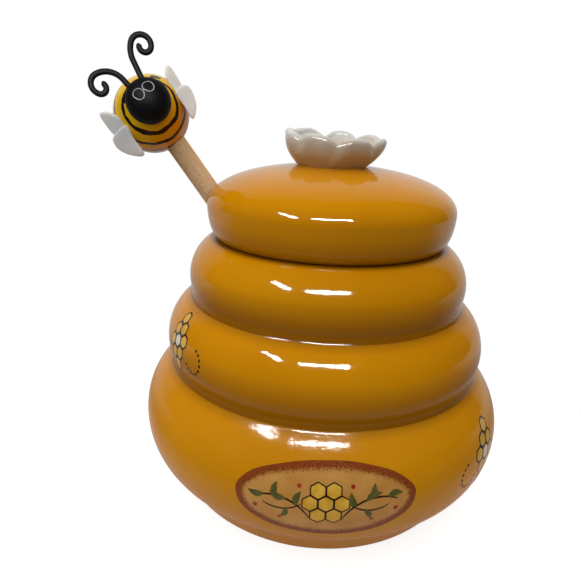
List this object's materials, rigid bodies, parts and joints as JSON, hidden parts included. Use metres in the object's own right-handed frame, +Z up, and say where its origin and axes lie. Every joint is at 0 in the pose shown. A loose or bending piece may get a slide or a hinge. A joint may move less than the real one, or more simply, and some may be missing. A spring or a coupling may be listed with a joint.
{
  "type": "honey pot",
  "caption": "Glazed beehive honey pot with a lift-off flower-knob lid, notched for a wooden dipper topped by a painted bee.",
  "frame": {"origin": "centre of the foot ring's underside, on the surface the pot stands on", "axes": "+Z up through the mouth; -Y is the front; the dipper leans out to -X"},
  "size_m": [0.1246, 0.115, 0.1332],
  "materials": {
    "amber_glaze": "gloss",
    "white_glaze": "gloss",
    "wood": "bare",
    "bee_paint": "gloss",
    "black_paint": "satin paint",
    "black_wire": "satin",
    "wing_white": "matte"
  },
  "bodies": {
    "pot": {"pot": "amber_glaze"},
    "lid": {"lid": "amber_glaze", "flower_knob": "white_glaze"},
    "dipper": {"dipper": "wood", "bee_body": "bee_paint", "bee_head": "black_paint", "antenna_left": "black_wire", "antenna_right": "black_wire", "wing_upper_left": "wing_white", "wing_lower_left": "wing_white", "wing_upper_right": "wing_white", "wing_lower_right": "wing_white"}
  },
  "joints": [
    {"name": "lid_lift", "type": "slide", "parent": "pot", "child": "lid", "axis": [0, 0, 1], "range_m": [0, 0.12]},
    {"name": "dipper_lift", "type": "slide", "parent": "pot", "child": "dipper", "axis": [-0.5892, 0, 0.808], "range_m": [0, 0.045]}
  ]
}
